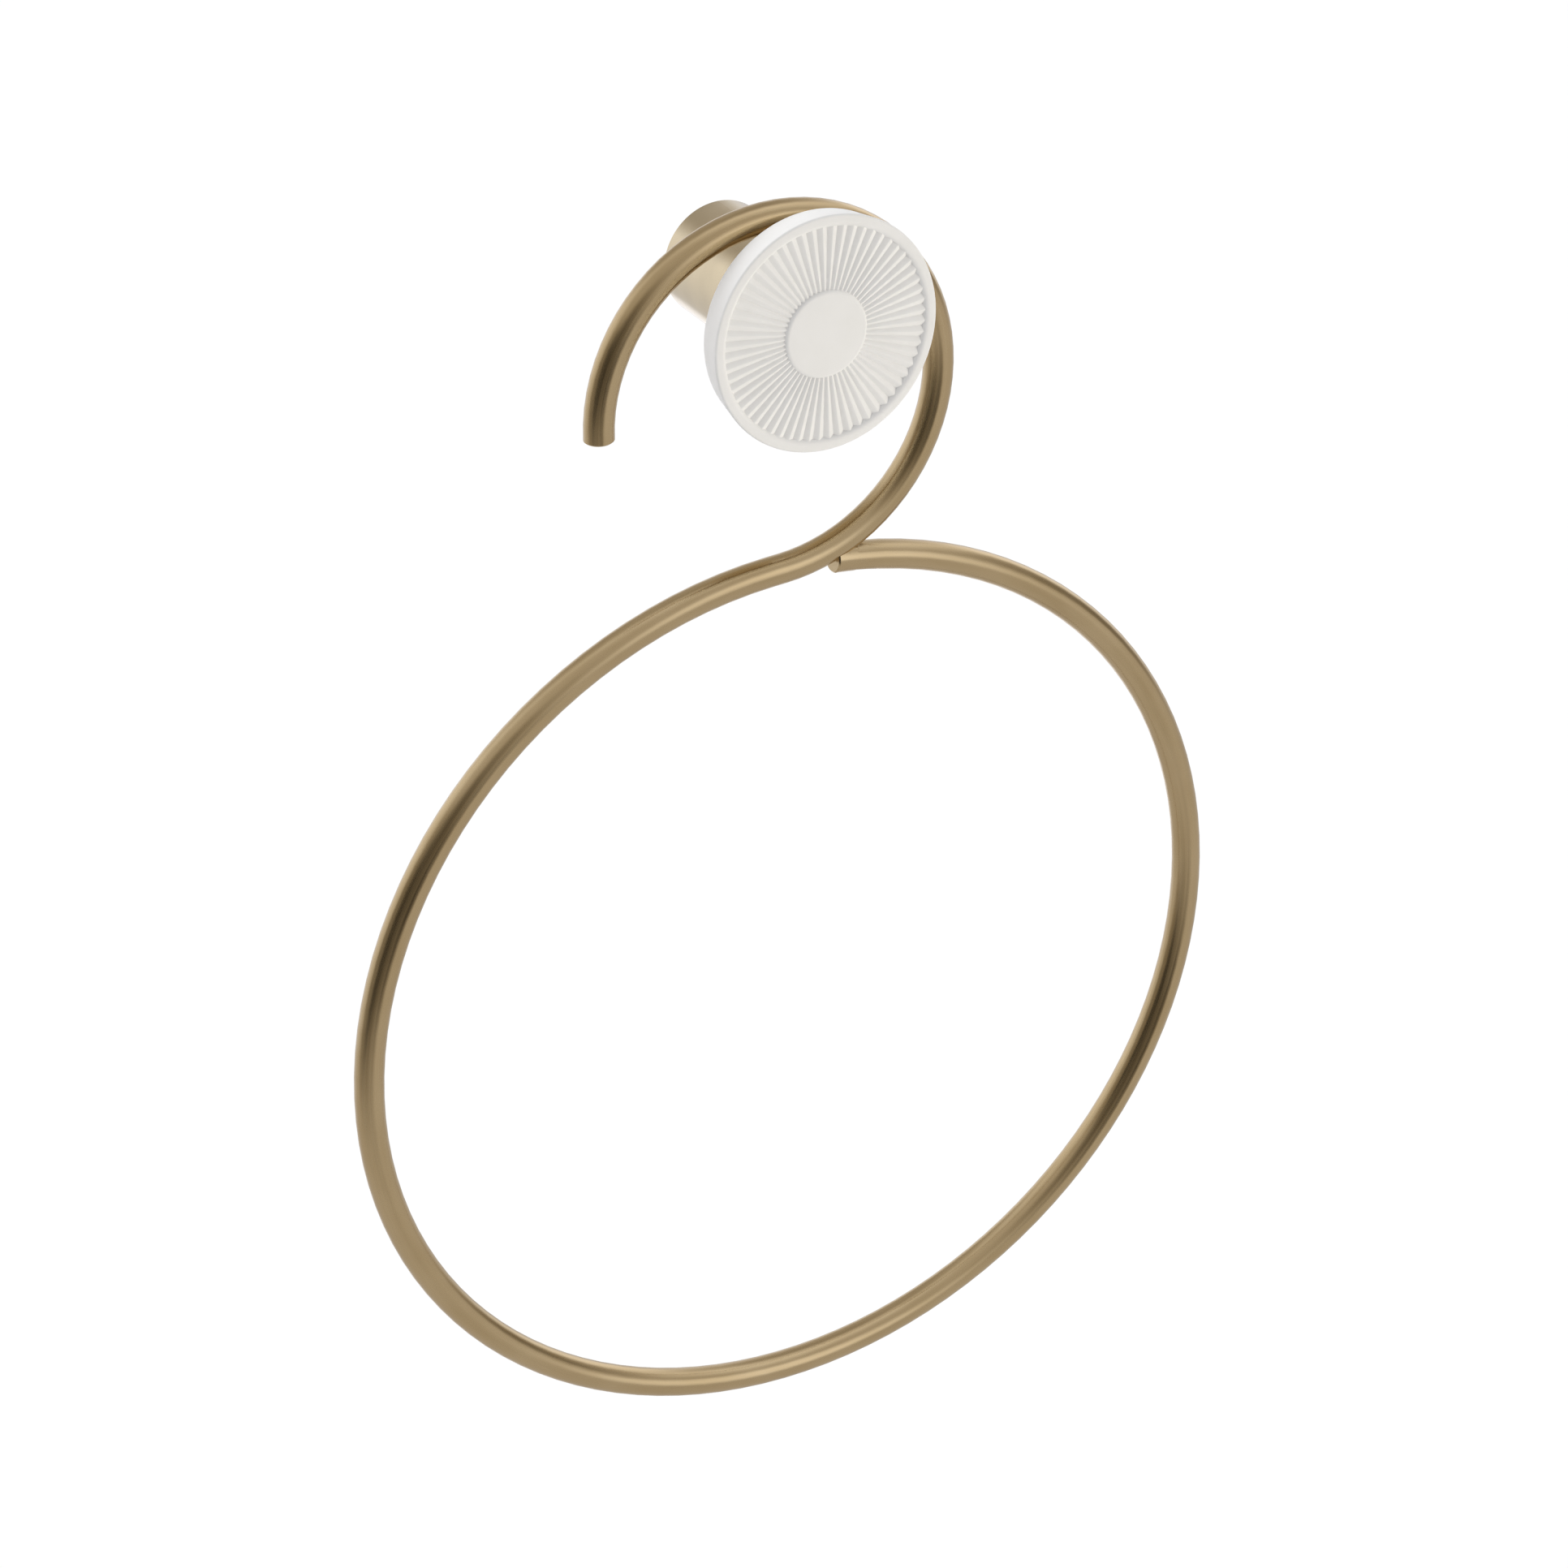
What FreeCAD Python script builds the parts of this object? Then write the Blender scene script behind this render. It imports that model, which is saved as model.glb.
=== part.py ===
import FreeCAD, Part
import math
import os

from FreeCAD import Vector

# Towel ring with an open hook and a round fluted medallion, in millimetres.
# The origin is the centre of the post's wall face: +Y points into the wall,
# +X to the right for someone facing the wall, and +Z up.

# Bent rod: one bar makes the hook and the ring
rod_diameter = 6.35
ring_bend_radius = 101.0
hook_bend_radius = 38.9
straight_between_bends = 3.0
hook_centre_deg = 251.44
hook_end_deg = 181.9
ring_end_deg = 85.2
rod_end_chamfer = 0.3
rod_standoff = 34.1
rod_inside_medallion_edge = 4.17

# Plate that carries the rod behind the medallion
plate_inside_medallion_edge = 3.55
plate_thickness = 2.6
rod_seat_depth = 0.9
braze_gap = 0.05
pad_thickness = 0.5
pad_margin = 1.0

# Post
post_diameter = 25.1
post_bore_diameter = 20.0
post_web_thickness = 4.5
post_edge_chamfer = 0.35
spigot_diameter = 12.0
spigot_short_of_face = 0.4

# Medallion
medallion_diameter = 50.1
medallion_back_diameter = 48.0
medallion_thickness = 7.3
medallion_edge_radius = 0.5
rim_width = 2.6
rim_inner_radius = 1.15
boss_diameter = 17.9
boss_edge_radius = 0.6
rounding_flats = 4
relief_depth = 1.3
boss_to_flutes = 0.45
flutes_to_rim = 0.35
crest_below_face = 0.45
flute_count = 60
flute_depth = 0.5
flute_shoulder_depth = 0.2
flute_ridge = 0.1
flute_turn_deg = 0.8

# Threaded insert and the screw that holds the medallion
insert_diameter = 9.6
insert_length = 5.0
glue_gap = 0.15
screw_diameter = 5.0
screw_length = 12.0
screw_head_diameter = 8.5
screw_head_height = 5.0
screw_socket_width = 4.0
screw_socket_depth = 2.5
screw_hole_clearance = 0.25
thread_clearance = 0.05

# Wall bracket and the grub screw under the post
bracket_length = 9.0
bracket_clearance = 0.15
bracket_edge_chamfer = 0.5
wall_hole_spacing = 10.0
wall_hole_diameter = 4.3
wall_hole_countersink = 7.8
grub_diameter = 4.0
grub_length = 4.0
grub_recess = 0.4
grub_from_wall = 4.5
grub_socket_width = 2.0
grub_socket_depth = 1.8

rod_radius = rod_diameter / 2
post_radius = post_diameter / 2
plate_radius = medallion_diameter / 2 - plate_inside_medallion_edge
boss_radius = boss_diameter / 2
rim_wall_radius = medallion_diameter / 2 - rim_width
flutes_start = boss_radius + boss_to_flutes
flutes_end = rim_wall_radius - flutes_to_rim
plate_back = -(rod_standoff + rod_radius - rod_seat_depth)
plate_front = plate_back - plate_thickness
pad_front = plate_front - pad_thickness
medallion_front = pad_front - medallion_thickness
crest_level = medallion_front + crest_below_face
relief_floor = medallion_front + relief_depth


def polar(centre, radius, angle_deg):
    """Point at an angle round a centre, seen from the front with +X right and +Z up."""
    angle = math.radians(angle_deg)
    return centre + Vector(radius * math.cos(angle), 0, radius * math.sin(angle))


def turned(radius, y_from, y_to, inner_radius=0.0):
    """Disc or sleeve about the post's axis between two depths."""
    low, high = min(y_from, y_to), max(y_from, y_to)
    body = Part.makeCylinder(radius, high - low, Vector(0, low, 0), Vector(0, 1, 0))
    if inner_radius > 0:
        body = body.cut(Part.makeCylinder(inner_radius, high - low, Vector(0, low, 0), Vector(0, 1, 0)))
    return body


def circles(shape, radius, y):
    """Edges of a turned shape that are circles of this radius at this depth."""
    found = []
    for edge in shape.Edges:
        curve = edge.Curve
        if not isinstance(curve, Part.Circle) or abs(curve.Radius - radius) > 1e-4:
            continue
        if abs(curve.Center.y - y) < 1e-4 and abs(abs(curve.Axis.y) - 1) < 1e-6:
            found.append(edge)
    return found


def hexagon_hole(width, depth, at, direction):
    """Hexagonal prism that cuts a key socket, measured across its flats."""
    corner = width / math.sqrt(3)
    points = []
    for i in range(7):
        angle = math.radians(60 * i)
        points.append(Vector(corner * math.cos(angle), corner * math.sin(angle), 0))
    prism = Part.Face(Part.makePolygon(points)).extrude(Vector(0, 0, depth))
    prism.Placement = FreeCAD.Placement(at, FreeCAD.Rotation(Vector(0, 0, 1), direction))
    return prism


def arc_bar(centre, bend_radius, start_deg, end_deg, radius):
    """Round bar bent to an arc in the plane of the ring, anticlockwise from the front."""
    start = polar(centre, bend_radius, start_deg)
    along = polar(Vector(0, 0, 0), 1, start_deg + 90)
    section = Part.Face(Part.Wire(Part.makeCircle(radius, start, along)))
    return section.revolve(centre, Vector(0, -1, 0), end_deg - start_deg)


def rod_bends():
    """Centres of the two bends and the angles where the straight between them starts.

    The hook passes round the post under the medallion's edge, and the ring hangs
    straight below the post.
    """
    from_post = medallion_diameter / 2 - rod_inside_medallion_edge
    post_axis = Vector(0, -rod_standoff, 0)
    hook_centre = polar(post_axis, hook_bend_radius - from_post, hook_centre_deg)
    across = ring_bend_radius + hook_bend_radius
    apart = math.hypot(across, straight_between_bends)
    drop = math.sqrt(apart ** 2 - hook_centre.x ** 2)
    ring_centre = Vector(0, -rod_standoff, hook_centre.z - drop)
    lean_deg = math.degrees(math.atan2(-hook_centre.x, drop))
    ring_start_deg = 90 + lean_deg + math.degrees(math.atan2(straight_between_bends, across))
    return ring_centre, hook_centre, ring_start_deg, ring_start_deg - 180


def cut_bar(centre, bend_radius, start_deg, end_deg):
    """Bent bar whose far end is cut square, with the sharp edge taken off."""
    last_deg = end_deg - math.degrees(rod_end_chamfer / bend_radius)
    bar = arc_bar(centre, bend_radius, start_deg, last_deg, rod_radius)
    last = polar(centre, bend_radius, last_deg)
    along = polar(Vector(0, 0, 0), 1, last_deg + 90)
    tip = Part.makeCone(rod_radius, rod_radius - rod_end_chamfer, rod_end_chamfer, last, along)
    return bar.fuse(tip)


def ring_rod():
    """Bar bent to a hook and then to the ring, whose end is brazed under its own S bend."""
    ring_centre, hook_centre, ring_start_deg, hook_start_deg = rod_bends()
    ring = cut_bar(ring_centre, ring_bend_radius, ring_start_deg, 360 + ring_end_deg)
    hook = cut_bar(hook_centre, hook_bend_radius, hook_start_deg, hook_end_deg)
    start = polar(ring_centre, ring_bend_radius, ring_start_deg)
    end = polar(hook_centre, hook_bend_radius, hook_start_deg)
    straight = Part.makeCylinder(rod_radius, straight_between_bends, start, end - start)
    return hook.fuse([straight, ring])


def backplate():
    """Plate with a groove that the rod is brazed in and a hole for the post's spigot."""
    plate = turned(plate_radius, plate_front, plate_back, spigot_diameter / 2 + braze_gap)
    ring_centre, hook_centre, ring_start_deg, hook_start_deg = rod_bends()
    groove = arc_bar(hook_centre, hook_bend_radius, hook_start_deg, hook_end_deg, rod_radius + braze_gap)
    return plate.cut(groove)


def wall_post():
    """Turned post: open at the wall, with a web and a spigot at the front."""
    post = turned(post_radius, 0, plate_back)
    post = post.makeChamfer(post_edge_chamfer, circles(post, post_radius, 0))
    spigot_end = plate_front + spigot_short_of_face
    post = post.fuse(turned(spigot_diameter / 2, plate_back, spigot_end))
    post = post.cut(turned(post_bore_diameter / 2, 0, plate_back + post_web_thickness))
    screw_hole = screw_diameter / 2 + screw_hole_clearance
    post = post.cut(turned(screw_hole, 0, spigot_end))
    grub_hole = Part.makeCylinder(
        grub_diameter / 2 + thread_clearance,
        post_radius,
        Vector(0, -grub_from_wall, 0),
        Vector(0, 0, -1),
    )
    return post.cut(grub_hole)


def medallion_pad():
    """Thin washer that keeps the ceramic off the plate."""
    return turned(plate_radius - pad_margin, pad_front, plate_front, spigot_diameter / 2)


def flute_section(distance):
    """Closed outline of a flute at this distance from the axis: a wide V with swollen sides."""
    half_width = distance * math.tan(math.pi / flute_count) - flute_ridge / 2
    points = []
    for across, sunk in (
        (-1, 0),
        (-0.5, flute_shoulder_depth),
        (0, flute_depth),
        (0.5, flute_shoulder_depth),
        (1, 0),
    ):
        points.append(Vector(distance, crest_level + sunk, across * half_width))
    return points + points[:1]


def flute():
    """Channel of even depth that widens from the boss to the rim, its sides in flat triangles."""
    near = flute_section((boss_radius + flutes_start) / 2)
    far = flute_section((rim_wall_radius + flutes_end) / 2)
    outlines = [near, far]
    for i in range(len(near) - 1):
        outlines.append([near[i], near[i + 1], far[i + 1], near[i]])
        outlines.append([near[i], far[i + 1], far[i], near[i]])
    faces = [Part.Face(Part.makePolygon(outline)) for outline in outlines]
    return Part.Solid(Part.Shell(faces))


def fluted_disc(disc):
    """Disc with the ring of radial flutes cut in it, narrow ridges between them."""
    channel = flute()
    copies = []
    for i in range(flute_count):
        copy = channel.copy()
        copy.rotate(Vector(0, 0, 0), Vector(0, 1, 0), flute_turn_deg + i * 360 / flute_count)
        copies.append(copy)
    return disc.cut(copies)


def rounded_edge(wall_radius, size, side):
    """Profile points of a front edge from its wall to the flat face, rounded in flats.

    Side is 1 for a wall that faces outward and -1 for one that faces the axis.
    """
    points = []
    for i in range(rounding_flats + 1):
        angle = math.pi / 2 * i / rounding_flats
        radius = wall_radius - side * size * (1 - math.cos(angle))
        points.append(Vector(radius, medallion_front + size * (1 - math.sin(angle)), 0))
    return points


def disc_profile():
    """Closed half section of the disc before the flutes are cut."""
    back_radius = medallion_back_diameter / 2
    points = [Vector(0, pad_front, 0)]
    points.append(Vector(back_radius - medallion_edge_radius, pad_front, 0))
    points.append(Vector(back_radius, pad_front - medallion_edge_radius, 0))
    points += rounded_edge(medallion_diameter / 2, medallion_edge_radius, 1)
    points += rounded_edge(rim_wall_radius, rim_inner_radius, -1)[::-1]
    for radius, y in (
        (rim_wall_radius, relief_floor),
        (flutes_end, relief_floor),
        (flutes_end, crest_level),
        (flutes_start, crest_level),
        (flutes_start, relief_floor),
        (boss_radius, relief_floor),
    ):
        points.append(Vector(radius, y, 0))
    points += rounded_edge(boss_radius, boss_edge_radius, 1)
    points.append(Vector(0, medallion_front, 0))
    return points + points[:1]


def medallion():
    """Ceramic disc with drafted side: flat rim, raised boss, and a ring of flutes between."""
    section = Part.Face(Part.makePolygon(disc_profile()))
    disc = section.revolve(Vector(0, 0, 0), Vector(0, 1, 0), 360)
    disc = disc.cut(turned(insert_diameter / 2 + glue_gap, pad_front, pad_front - insert_length))
    return fluted_disc(disc)


def medallion_insert():
    """Brass bush bonded in the back of the medallion, threaded for the screw."""
    thread = screw_diameter / 2 + thread_clearance
    return turned(insert_diameter / 2, pad_front, pad_front - insert_length, thread)


def medallion_screw():
    """Socket-head screw from inside the post, through web and plate, into the insert."""
    seat = plate_back + post_web_thickness
    shank = turned(screw_diameter / 2, seat, seat - screw_length)
    head = turned(screw_head_diameter / 2, seat, seat + screw_head_height)
    top = seat + screw_head_height
    socket = hexagon_hole(screw_socket_width, screw_socket_depth, Vector(0, top, 0), Vector(0, -1, 0))
    return shank.fuse(head).cut(socket)


def grub_tip():
    """Lowest point of the bracket's dimple, where the grub screw's cone ends."""
    return -(post_radius - grub_recess) + grub_length


def wall_bracket():
    """Plug that two wall screws hold and the post slides over."""
    radius = post_bore_diameter / 2 - bracket_clearance
    plug = turned(radius, 0, -bracket_length)
    plug = plug.makeChamfer(bracket_edge_chamfer, circles(plug, radius, -bracket_length))
    sink_depth = (wall_hole_countersink - wall_hole_diameter) / 2
    for side in (-1, 1):
        x = side * wall_hole_spacing / 2
        plug = plug.cut(Part.makeCylinder(
            wall_hole_diameter / 2, bracket_length, Vector(x, 0, 0), Vector(0, -1, 0)
        ))
        plug = plug.cut(Part.makeCone(
            wall_hole_diameter / 2,
            wall_hole_countersink / 2,
            sink_depth,
            Vector(x, sink_depth - bracket_length, 0),
            Vector(0, -1, 0),
        ))
    depth = radius + grub_tip() + thread_clearance
    dimple = Part.makeCone(0, depth, depth, Vector(0, -grub_from_wall, depth - radius), Vector(0, 0, -1))
    return plug.cut(dimple)


def grub_screw():
    """Headless screw with a cone point that locks the post to the bracket."""
    outer_end = -(post_radius - grub_recess)
    cone_height = grub_diameter / 2
    at = Vector(0, -grub_from_wall, outer_end)
    body = Part.makeCylinder(grub_diameter / 2, grub_length - cone_height, at, Vector(0, 0, 1))
    cone_base = at + Vector(0, 0, grub_length - cone_height)
    point = Part.makeCone(grub_diameter / 2, 0, cone_height, cone_base, Vector(0, 0, 1))
    socket = hexagon_hole(grub_socket_width, grub_socket_depth, at, Vector(0, 0, 1))
    return body.fuse(point).cut(socket)


os.makedirs("parts", exist_ok=True)
pieces = (
    ring_rod,
    backplate,
    wall_post,
    medallion,
    medallion_pad,
    medallion_insert,
    medallion_screw,
    wall_bracket,
    grub_screw,
)
for make in pieces:
    make().exportStep("parts/" + make.__name__ + ".step")
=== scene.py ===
import math

import bpy
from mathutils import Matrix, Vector


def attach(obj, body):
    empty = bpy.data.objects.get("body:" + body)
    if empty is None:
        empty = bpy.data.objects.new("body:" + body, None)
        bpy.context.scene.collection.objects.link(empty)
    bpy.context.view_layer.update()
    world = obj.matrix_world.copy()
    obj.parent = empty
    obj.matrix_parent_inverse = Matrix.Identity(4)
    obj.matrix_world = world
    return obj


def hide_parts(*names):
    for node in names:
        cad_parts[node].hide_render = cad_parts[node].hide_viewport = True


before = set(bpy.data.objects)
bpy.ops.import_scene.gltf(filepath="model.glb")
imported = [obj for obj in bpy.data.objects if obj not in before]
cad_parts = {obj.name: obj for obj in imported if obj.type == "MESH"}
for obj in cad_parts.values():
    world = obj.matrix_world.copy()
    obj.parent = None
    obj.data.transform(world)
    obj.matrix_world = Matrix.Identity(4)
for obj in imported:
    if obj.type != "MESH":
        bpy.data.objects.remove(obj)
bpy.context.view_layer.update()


# The rod: one length of quarter-inch brass bar, bent to the open hook and then to the ring.
# Its end is brazed under its own S bend, and a fine belt has left a satin grain along the bar.
# The grain follows the bends, so the finish is mapped round and along the two arcs.
rod_radius = 0.003175
ring_centre = Vector((0, -0.0341, -0.1569))
ring_bend = 0.101
ring_middle = math.radians(269.39)
ring_reach = math.radians(175.9)
hook_centre = Vector((-0.005738, -0.0341, -0.017086))
hook_bend = 0.0389
hook_middle = math.radians(47.7)
hook_reach = math.radians(134.2)
joint_angle = math.radians(93.58)
far_off = 10.0

rod_brass = (0.545, 0.412, 0.228, 1)
rod_brass_dark = (0.49, 0.362, 0.190, 1)
rod_roughness = (0.20, 0.30)
rod_fine_roughness = (-0.02, 0.02)
rod_anisotropy = 0.35
grain_scale, grain_drawn_out = 5.0, 5.0
fine_scale, fine_drawn_out = 16.0, 4.0
patch_scale, patch_drawn_out = 0.8, 70.0
fine_share = 0.3
grain_strength, grain_height = 0.10, 0.00002
noise_low, noise_high = 0.3, 0.7
mix_sockets = {"FLOAT": (2, 3, 0), "VECTOR": (4, 5, 1), "RGBA": (6, 7, 2)}


def blank_material(name):
    """A node material with only its shader and output."""
    material = bpy.data.materials.new(name)
    material.use_nodes = True
    tree = material.node_tree
    return material, tree, tree.nodes["Principled BSDF"]


def add(tree, kind, **settings):
    """A node with some of its properties set."""
    made = tree.nodes.new(kind)
    for key, value in settings.items():
        setattr(made, key, value)
    return made


def wire(tree, target, source):
    """Feeds a socket from another node's output, or sets it."""
    if isinstance(source, bpy.types.NodeSocket):
        tree.links.new(source, target)
    else:
        target.default_value = source


def maths(tree, operation, first, second=0.0):
    """One sum on two numbers."""
    made = add(tree, "ShaderNodeMath", operation=operation)
    wire(tree, made.inputs[0], first)
    wire(tree, made.inputs[1], second)
    return made.outputs[0]


def squares(tree, first, second):
    """The sum of two squares."""
    one = maths(tree, "MULTIPLY", first, first)
    other = maths(tree, "MULTIPLY", second, second)
    return maths(tree, "ADD", one, other)


def vector_maths(tree, operation, first, second=(0, 0, 0)):
    """One sum on two vectors."""
    made = add(tree, "ShaderNodeVectorMath", operation=operation)
    wire(tree, made.inputs[0], first)
    wire(tree, made.inputs[1], second)
    return made.outputs["Value" if operation == "DOT_PRODUCT" else "Vector"]


def apart(tree, vector):
    """The three numbers of a vector."""
    made = add(tree, "ShaderNodeSeparateXYZ")
    wire(tree, made.inputs[0], vector)
    return made.outputs


def together(tree, x, y, z):
    """Three numbers as a vector."""
    made = add(tree, "ShaderNodeCombineXYZ")
    for socket, source in zip(made.inputs, (x, y, z)):
        wire(tree, socket, source)
    return made.outputs[0]


def mix(tree, kind, amount, first, second):
    """Part of the way from one number, vector or colour to another."""
    from_socket, to_socket, result = mix_sockets[kind]
    made = add(tree, "ShaderNodeMix", data_type=kind)
    wire(tree, made.inputs[0], amount)
    wire(tree, made.inputs[from_socket], first)
    wire(tree, made.inputs[to_socket], second)
    return made.outputs[result]


def own_place(tree):
    """The point on the piece, in metres."""
    return add(tree, "ShaderNodeTexCoord").outputs["Object"]


def noise(tree, vector, scale, detail=2.0, rough=0.5):
    """Fractal noise between about 0.3 and 0.7."""
    made = add(tree, "ShaderNodeTexNoise")
    wire(tree, made.inputs["Vector"], vector)
    wire(tree, made.inputs["Scale"], scale)
    wire(tree, made.inputs["Detail"], detail)
    wire(tree, made.inputs["Roughness"], rough)
    return made.outputs["Fac"]


def drawn_noise(tree, vector, scale, drawn_out, detail=2.0, rough=0.5):
    """Noise with its own scale along the bar."""
    drawn = vector_maths(tree, "MULTIPLY", vector, (1, 1, drawn_out))
    return noise(tree, drawn, scale, detail, rough)


def remap(tree, value, low, high, new_low, new_high):
    """A number taken from one range to another, with its ends held."""
    made = add(tree, "ShaderNodeMapRange")
    for socket, source in zip(made.inputs, (value, low, high, new_low, new_high)):
        wire(tree, socket, source)
    return made.outputs["Result"]


def spread(tree, value, low=0.0, high=1.0):
    """Noise brought to another range."""
    return remap(tree, value, noise_low, noise_high, low, high)


def emboss(tree, shader, height, strength, distance):
    """Small relief in a finish."""
    bump = add(tree, "ShaderNodeBump")
    bump.inputs["Strength"].default_value = strength
    bump.inputs["Distance"].default_value = distance
    wire(tree, bump.inputs["Height"], height)
    wire(tree, shader.inputs["Normal"], bump.outputs[0])


def bend_coordinates(tree, place, centre, bend, middle, reach, outward):
    """Place round and along the bar, distance from this bend's skin, and the bar's direction."""
    from_centre = vector_maths(tree, "SUBTRACT", place, centre)
    x, y, z = apart(tree, from_centre)
    distance = maths(tree, "SQRT", squares(tree, x, z))
    off_line = maths(tree, "SUBTRACT", distance, bend)
    across = maths(tree, "MULTIPLY", off_line, outward / rod_radius)
    depth = maths(tree, "DIVIDE", y, rod_radius)

    c, s = math.cos(middle), math.sin(middle)
    near = maths(tree, "ADD", maths(tree, "MULTIPLY", x, c), maths(tree, "MULTIPLY", z, s))
    far = maths(tree, "SUBTRACT", maths(tree, "MULTIPLY", z, c), maths(tree, "MULTIPLY", x, s))
    turn = maths(tree, "ARCTAN2", far, near)
    half_turn = 0 if outward > 0 else math.pi
    joint_turn = math.remainder(joint_angle - middle - half_turn, 2 * math.pi)
    from_joint = maths(tree, "SUBTRACT", turn, joint_turn)
    along = maths(tree, "MULTIPLY", from_joint, outward * bend)

    miss = maths(tree, "SUBTRACT", squares(tree, across, depth), 1.0)
    past_end = maths(tree, "GREATER_THAN", maths(tree, "ABSOLUTE", turn), reach)
    penalty = maths(tree, "MULTIPLY", past_end, far_off)
    miss = maths(tree, "ADD", maths(tree, "ABSOLUTE", miss), penalty)
    heading = vector_maths(tree, "CROSS_PRODUCT", (0, -outward, 0), from_centre)
    return together(tree, across, depth, along), miss, heading


def dress(node, material):
    """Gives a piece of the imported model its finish."""
    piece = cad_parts[node]
    piece.data.materials.clear()
    piece.data.materials.append(material)


satin_rod, tree, shader = blank_material("satin_brass_rod")
place = own_place(tree)
on_ring, ring_miss, ring_heading = bend_coordinates(
    tree, place, ring_centre, ring_bend, ring_middle, ring_reach, outward=1
)
on_hook, hook_miss, hook_heading = bend_coordinates(
    tree, place, hook_centre, hook_bend, hook_middle, hook_reach, outward=-1
)
is_hook = maths(tree, "LESS_THAN", hook_miss, ring_miss)
on_bar = mix(tree, "VECTOR", is_hook, on_ring, on_hook)
heading = mix(tree, "VECTOR", is_hook, ring_heading, hook_heading)
grain = drawn_noise(tree, on_bar, grain_scale, grain_drawn_out, detail=3.0, rough=0.55)
fine_grain = drawn_noise(tree, on_bar, fine_scale, fine_drawn_out)
patches = drawn_noise(tree, on_bar, patch_scale, patch_drawn_out)
colour = mix(tree, "RGBA", spread(tree, patches), rod_brass, rod_brass_dark)
rough = spread(tree, grain, *rod_roughness)
fine_rough = spread(tree, fine_grain, *rod_fine_roughness)
relief = maths(tree, "ADD", grain, maths(tree, "MULTIPLY", fine_grain, fine_share))
wire(tree, shader.inputs["Base Color"], colour)
wire(tree, shader.inputs["Roughness"], maths(tree, "ADD", rough, fine_rough))
shader.inputs["Metallic"].default_value = 1.0
shader.inputs["Anisotropic"].default_value = rod_anisotropy
wire(tree, shader.inputs["Tangent"], vector_maths(tree, "NORMALIZE", heading))
emboss(tree, shader, relief, grain_strength, grain_height)
dress("ring_rod", satin_rod)


# The post and the plate behind the medallion: turned brass with a fine satin finish.
# The lathe leaves faint rings round the post's axis, and the plate is brazed on its spigot.
post_brass = (0.64, 0.53, 0.345, 1)
post_roughness = 0.19
plate_roughness = 0.35
roughness_spread = 0.04
darker_share = 0.9
turning_scale = 4000.0
turning_strength, turning_height = 0.15, 0.00003
tarnish_scale = 90.0
tarnish_low, tarnish_high = 0.35, 0.65


def turned_brass(name, colour, rough):
    """Brass with faint turning rings round the post's axis."""
    material, tree, shader = blank_material(name)
    place = own_place(tree)
    x, y, z = apart(tree, place)
    off_axis = maths(tree, "SQRT", squares(tree, x, z))
    rings = noise(tree, together(tree, off_axis, y, 0.0), turning_scale)
    tarnish = noise(tree, place, tarnish_scale, detail=3.0)
    tarnish = remap(tree, tarnish, tarnish_low, tarnish_high, 0, 1)
    darker = tuple(darker_share * value for value in colour[:3]) + (1,)
    roughness = spread(tree, rings, rough - roughness_spread, rough + roughness_spread)
    wire(tree, shader.inputs["Base Color"], mix(tree, "RGBA", tarnish, colour, darker))
    wire(tree, shader.inputs["Roughness"], roughness)
    shader.inputs["Metallic"].default_value = 1.0
    emboss(tree, shader, rings, turning_strength, turning_height)
    return material


dress("wall_post", turned_brass("satin_brass_post", post_brass, post_roughness))
dress("backplate", turned_brass("satin_brass_plate", rod_brass, plate_roughness))


# The medallion: a pressed and fired disc of white ceramic with a smooth matt face.
# A rounded rim and boss frame sixty shallow flutes whose swollen sides meet in soft ridges.
# Its side is drafted toward the back, and one screw holds the disc from behind.
face_level = -0.046775
back_level = -0.039475
disc_radius = 0.02505
back_radius = 0.0240
edge_round = 0.0005
boss_flat = 0.00845
boss_round = 0.0009
rim_flat = 0.0236
rim_round = 0.00115
soft_corner = 0.00005
face_loop = 0.004
back_loop = 0.015
bush_hole = 0.00495
bush_depth = 0.005
boss_steps, rim_steps, floor_steps = 8, 9, 6
front_edge_steps, back_edge_steps = 6, 4

flute_count = 60
flute_turn = math.radians(0.8)
crest_below_face = 0.00045
depth_at_boss = 0.0004
depth_at_rim = 0.00062
half_flute_shares = (0.0, 0.06, 0.15, 0.27, 0.4, 0.53, 0.66, 0.78, 0.88, 0.95, 1.0)
flute_curve = 1.3

fired_white = (0.81, 0.805, 0.80, 1)
fired_shade = (0.79, 0.785, 0.775, 1)
ceramic_roughness = (0.5, 0.62)
ceramic_gloss = 0.4
cloud_scale = 160.0
grit_scale = 2600.0
grit_strength, grit_height = 0.12, 0.00003


def arc(centre_r, centre_y, radius, start, stop, steps):
    """Points of a rounded edge in the disc's section, between two angles in degrees."""
    points = []
    for i in range(steps + 1):
        angle = math.radians(start + (stop - start) * i / steps)
        points.append((centre_r + radius * math.cos(angle), centre_y + radius * math.sin(angle)))
    return points


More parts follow.
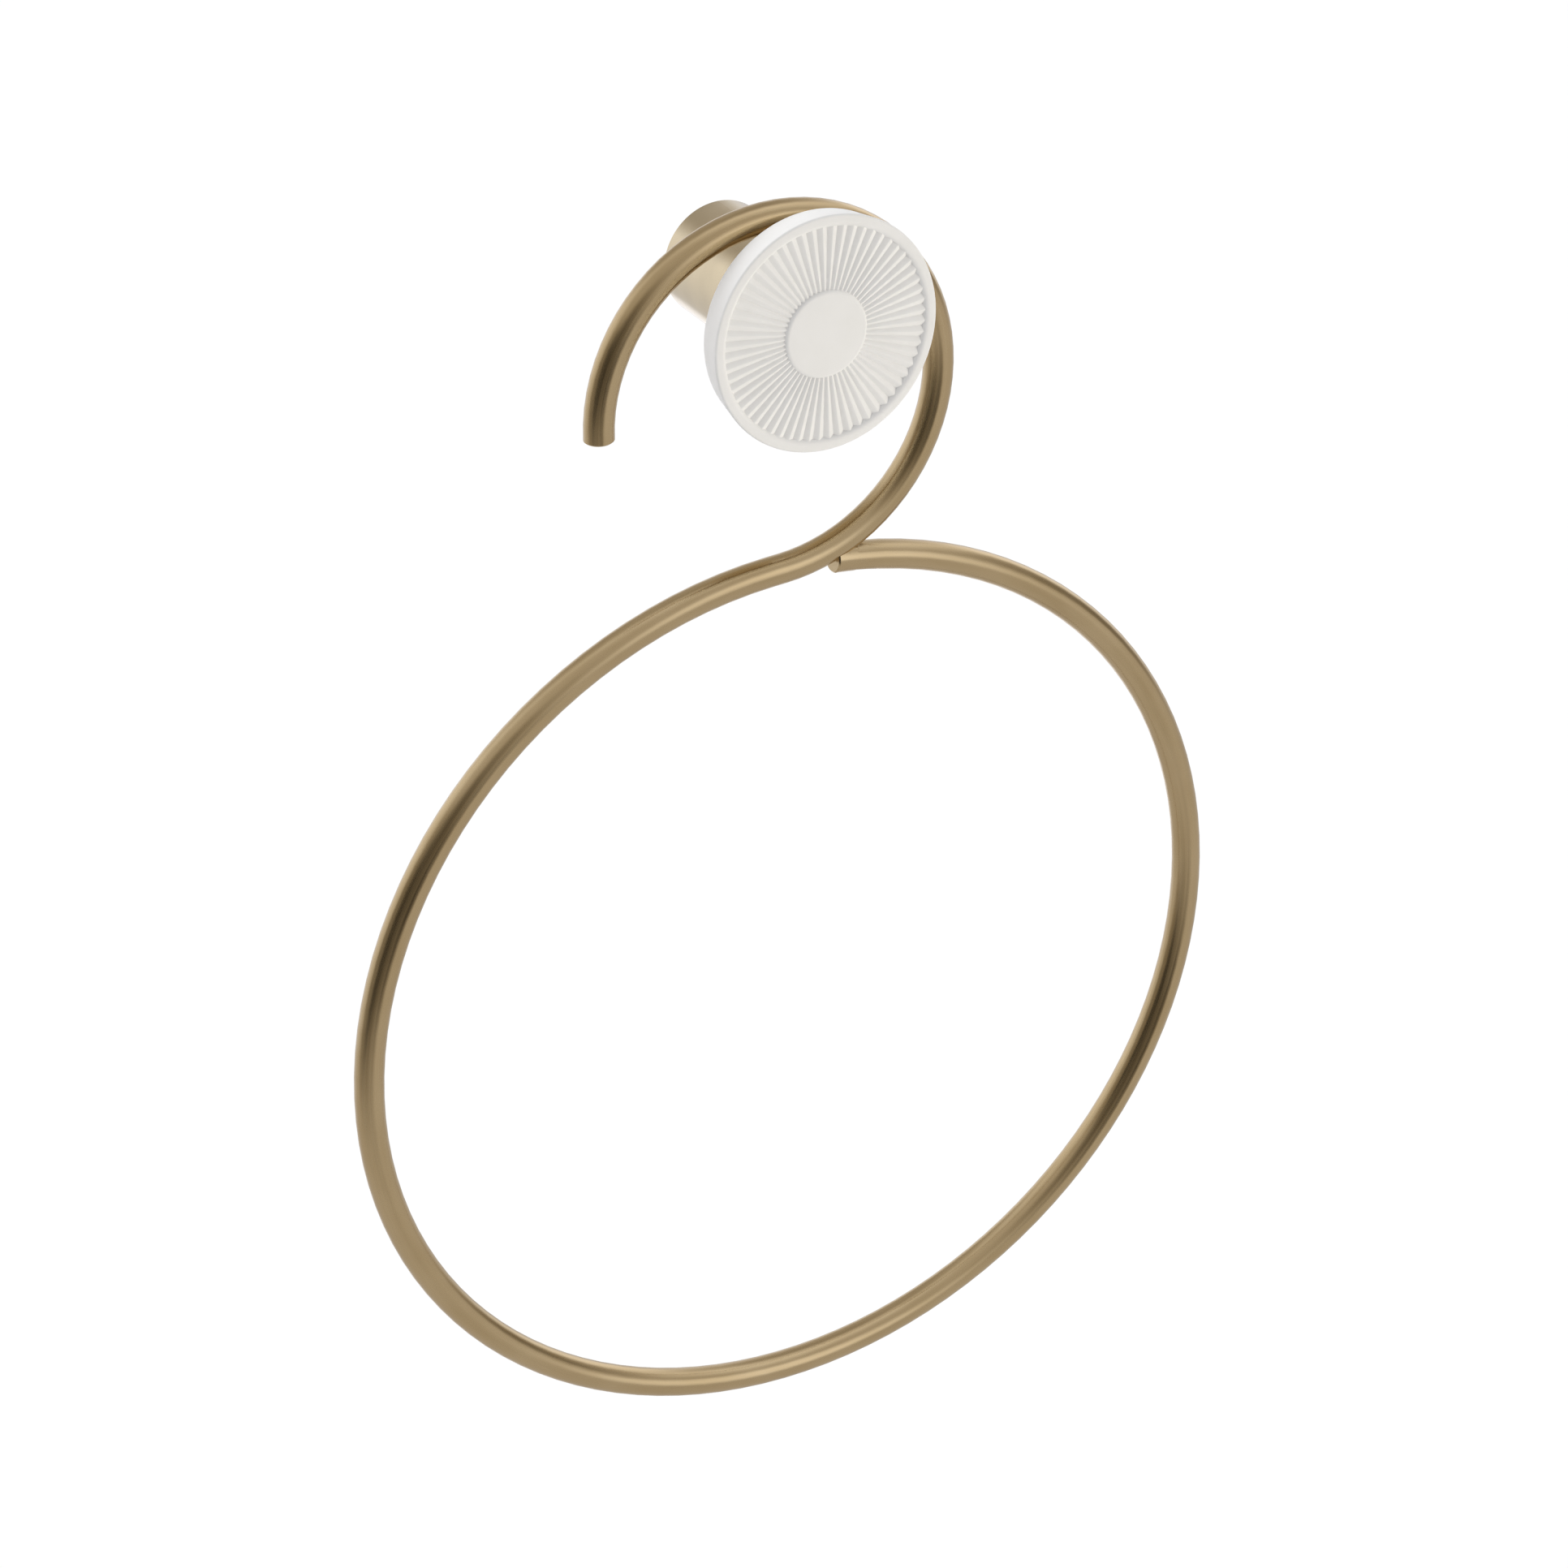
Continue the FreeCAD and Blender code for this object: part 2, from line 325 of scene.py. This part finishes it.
def disc_section(deep):
    """The section from the face's middle to the bush hole, at this share of the flute's depth."""
    sunk_at_boss = crest_below_face + depth_at_boss * deep
    sunk_at_rim = crest_below_face + depth_at_rim * deep
    boss_turn = math.degrees(math.acos(1 - sunk_at_boss / boss_round))
    rim_turn = math.degrees(math.acos(1 - sunk_at_rim / rim_round))
    boss_middle = face_level + boss_round
    rim_middle = face_level + rim_round
    boss_side = arc(boss_flat, boss_middle, boss_round, -90, boss_turn - 90, boss_steps)
    rim_side = arc(rim_flat, rim_middle, rim_round, 270 - rim_turn, 270, rim_steps)
    start = boss_side[-1][0] + soft_corner
    stop = rim_side[0][0] - soft_corner

    section = [(0.0, face_level), (face_loop, face_level)] + boss_side
    for i in range(floor_steps + 1):
        sunk = sunk_at_boss + (sunk_at_rim - sunk_at_boss) * i / floor_steps
        section.append((start + (stop - start) * i / floor_steps, face_level + sunk))
    section += rim_side
    front_edge = (disc_radius - edge_round, face_level + edge_round)
    back_edge = (back_radius - edge_round, back_level - edge_round)
    section += arc(*front_edge, edge_round, -90, 0, front_edge_steps)
    section += arc(*back_edge, edge_round, 0, 90, back_edge_steps)
    section += [(back_loop, back_level), (bush_hole, back_level)]
    section += [(bush_hole, back_level - bush_depth), (0.0, back_level - bush_depth)]
    return section


def make_medallion():
    """The whole disc as one closed skin."""
    half = [(share, (1 - share) ** flute_curve) for share in half_flute_shares]
    sweep = [(-share, deep) for share, deep in reversed(half[1:])] + half[:-1]
    pitch = 2 * math.pi / flute_count
    columns = []
    for flute in range(flute_count):
        for share, deep in sweep:
            angle = flute_turn + (flute + share / 2) * pitch
            columns.append((angle, disc_section(deep)))
    points, rows = [], []
    for step, (radius, y) in enumerate(columns[0][1]):
        if radius == 0:
            rows.append([len(points)])
            points.append((0, y, 0))
            continue
        row = []
        for angle, section in columns:
            radius, y = section[step]
            row.append(len(points))
            points.append((radius * math.cos(angle), y, -radius * math.sin(angle)))
        rows.append(row)
    faces = []
    count = len(columns)
    for upper, lower in zip(rows, rows[1:]):
        for i in range(count):
            j = (i + 1) % count
            if len(upper) == 1:
                faces.append((upper[0], lower[j], lower[i]))
            elif len(lower) == 1:
                faces.append((upper[i], upper[j], lower[0]))
            else:
                faces.append((upper[i], upper[j], lower[j], lower[i]))
    mesh = bpy.data.meshes.new("fluted_disc")
    mesh.from_pydata(points, [], faces)
    mesh.validate()
    mesh.shade_smooth()
    return mesh


def put_in_scene(name, data):
    """A mesh, lamp or camera as a new object in the scene."""
    made = bpy.data.objects.new(name, data)
    bpy.context.scene.collection.objects.link(made)
    return made


ceramic, tree, shader = blank_material("matt_white_ceramic")
place = own_place(tree)
clouds = noise(tree, place, cloud_scale, detail=3.0)
grit = noise(tree, place, grit_scale)
colour = mix(tree, "RGBA", spread(tree, clouds), fired_white, fired_shade)
wire(tree, shader.inputs["Base Color"], colour)
wire(tree, shader.inputs["Roughness"], spread(tree, grit, *ceramic_roughness))
shader.inputs["Specular IOR Level"].default_value = ceramic_gloss
emboss(tree, shader, grit, grit_strength, grit_height)
fluted_disc = put_in_scene("fluted_disc", make_medallion())
fluted_disc.data.materials.append(ceramic)
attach(fluted_disc, "root")
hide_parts("medallion")


# Behind the disc: a black rubber washer, a brass bush bonded in the clay, and a steel screw.
# They are out of sight from the front, and clamp the disc to the plate from inside the post.
rubber_black = (0.018, 0.018, 0.018, 1)
rubber_grey = (0.03, 0.03, 0.029, 1)
rubber_roughness = (0.65, 0.8)
speck_scale = 900.0
yellow_brass = (0.72, 0.56, 0.30, 1)
bush_roughness = 0.28
steel_dark = (0.50, 0.50, 0.51, 1)
steel_bright = (0.60, 0.60, 0.61, 1)
steel_roughness = (0.25, 0.4)
mark_scale = 1200.0

rubber, tree, shader = blank_material("black_rubber")
specks = noise(tree, own_place(tree), speck_scale)
colour = mix(tree, "RGBA", specks, rubber_black, rubber_grey)
wire(tree, shader.inputs["Base Color"], colour)
wire(tree, shader.inputs["Roughness"], spread(tree, specks, *rubber_roughness))
dress("medallion_pad", rubber)
dress("medallion_insert", turned_brass("turned_brass_bush", yellow_brass, bush_roughness))

steel, tree, shader = blank_material("bright_steel_screw")
marks = noise(tree, own_place(tree), mark_scale, detail=3.0, rough=0.6)
colour = mix(tree, "RGBA", marks, steel_dark, steel_bright)
wire(tree, shader.inputs["Base Color"], colour)
wire(tree, shader.inputs["Roughness"], spread(tree, marks, *steel_roughness))
shader.inputs["Metallic"].default_value = 1.0
dress("medallion_screw", steel)


# The wall bracket and its grub screw: a turned brass plug that two screws hold to the wall.
# The post slides over the plug, and the cone-point screw locks it from below.
plug_roughness = 0.30
dress("wall_bracket", turned_brass("turned_brass_plug", yellow_brass, plug_roughness))
dress("grub_screw", steel)


# The studio: a white floor well below the ring, a white surround and one warm soft lamp.
# Metal sees soft dark and bright patches in the surround, as a room has behind the camera.
# Matt surfaces get an even light from the front and more of it from behind and the left.
floor_level = -0.62
floor_width = 16
floor_grey = (0.62, 0.62, 0.62, 1)
floor_roughness = 0.9
floor_glow = 1.07
glow_share = 0.85

bpy.ops.mesh.primitive_plane_add(size=floor_width, location=(0, 0, floor_level))
floor = bpy.context.object
floor.name = "studio_floor"
floor_paint, tree, shader = blank_material("white_floor")
shader.inputs["Base Color"].default_value = floor_grey
shader.inputs["Roughness"].default_value = floor_roughness
seen_by = add(tree, "ShaderNodeLightPath").outputs
glow = add(tree, "ShaderNodeEmission")
glow.inputs["Strength"].default_value = floor_glow
lift = add(tree, "ShaderNodeMixShader")
wire(tree, lift.inputs[0], maths(tree, "MULTIPLY", seen_by["Is Camera Ray"], glow_share))
wire(tree, lift.inputs[1], shader.outputs[0])
wire(tree, lift.inputs[2], glow.outputs[0])
wire(tree, tree.nodes["Material Output"].inputs["Surface"], lift.outputs[0])
floor.data.materials.append(floor_paint)
floor.visible_glossy = False

metal_level = 0.655
darkest_level = 0.05
# Each patch: azimuth, elevation, inner and outer radius in degrees, and how much it adds.
patches_for_metal = (
    (-44, 2, 1, 44, -0.55),
    (-7, -14, 1, 20, -0.53),
    (-84, -1, 20, 36, -0.39),
    (87, 11, 11, 27, -0.41),
    (29, 12, 1, 28, 0.77),
    (119, 7, 1, 25, 0.56),
    (191, 18, 1, 67, 0.48),
    (161, -42, 11, 20, 0.57),
    (168, 45, 4, 47, -1.04),
    (134, 57, 1, 62, 0.55),
)
tone_low, tone_high = 0.15, 0.9
dark_tone = (1.10, 1.0, 0.88, 1)
bright_tone = (0.975, 1.0, 1.10, 1)
white = (1, 1, 1, 1)
white_level = 1.0
front_level = 0.50
behind_gain = 1.80
left_gain = -0.85
above_gain = 0.22

surround = bpy.data.worlds.new("studio_surround")
surround.use_nodes = True
bpy.context.scene.world = surround
tree = surround.node_tree
direction = add(tree, "ShaderNodeTexCoord").outputs["Generated"]
seen_by = add(tree, "ShaderNodeLightPath").outputs


def soft_patch(azimuth, elevation, inner, outer):
    """1 inside a round patch of the surround and 0 outside, in degrees from its middle."""
    a, e = math.radians(azimuth), math.radians(elevation)
    toward = (math.sin(a) * math.cos(e), -math.cos(a) * math.cos(e), math.sin(e))
    edge = add(tree, "ShaderNodeMapRange", interpolation_type="SMOOTHSTEP")
    wire(tree, edge.inputs["Value"], vector_maths(tree, "DOT_PRODUCT", direction, toward))
    wire(tree, edge.inputs["From Min"], math.cos(math.radians(outer)))
    wire(tree, edge.inputs["From Max"], math.cos(math.radians(inner)))
    return edge.outputs["Result"]


level = metal_level
for azimuth, elevation, inner, outer, amount in patches_for_metal:
    patch = soft_patch(azimuth, elevation, inner, outer)
    level = maths(tree, "ADD", level, maths(tree, "MULTIPLY", patch, amount))
level = maths(tree, "MAXIMUM", level, darkest_level)
tone_share = remap(tree, level, tone_low, tone_high, 0, 1)
metal_tone = mix(tree, "RGBA", tone_share, dark_tone, bright_tone)

x, y, z = apart(tree, direction)
behind = maths(tree, "MULTIPLY", y, behind_gain)
behind_left = maths(tree, "ADD", behind, maths(tree, "MULTIPLY", x, left_gain))
behind_left = maths(tree, "MAXIMUM", behind_left, 0.0)
from_above = maths(tree, "MULTIPLY", z, above_gain)
matt_level = maths(tree, "ADD", maths(tree, "ADD", behind_left, from_above), front_level)

lit = mix(tree, "FLOAT", seen_by["Is Glossy Ray"], matt_level, level)
shown = mix(tree, "FLOAT", seen_by["Is Camera Ray"], lit, white_level)
tint = mix(tree, "RGBA", seen_by["Is Glossy Ray"], white, metal_tone)
sky = tree.nodes["Background"]
wire(tree, sky.inputs["Color"], tint)
wire(tree, sky.inputs["Strength"], shown)

lamp_place = Vector((0.872, -1.0, -0.388))
lamp_aim = Vector((0, -0.03, -0.05))
lamp_data = bpy.data.lights.new("right_light", "AREA")
lamp_data.shape = "SQUARE"
lamp_data.size = 0.45
lamp_data.energy = 8.5
lamp_data.color = (1.0, 0.93, 0.80)
lamp = put_in_scene("right_light", lamp_data)
lamp.location = lamp_place
lamp.rotation_euler = (lamp_aim - lamp_place).to_track_quat("-Z", "Y").to_euler()
lamp.visible_glossy = False

camera_data = bpy.data.cameras.new("camera")
camera_data.lens = 99.35
camera_data.sensor_width = 36
camera = put_in_scene("camera", camera_data)
camera.location = (-0.38689, -0.74115, 0.33350)
camera.rotation_euler = (math.radians(61.314), 0, math.radians(-28.505))
bpy.context.scene.camera = camera
bpy.context.scene.view_settings.view_transform = "Standard"
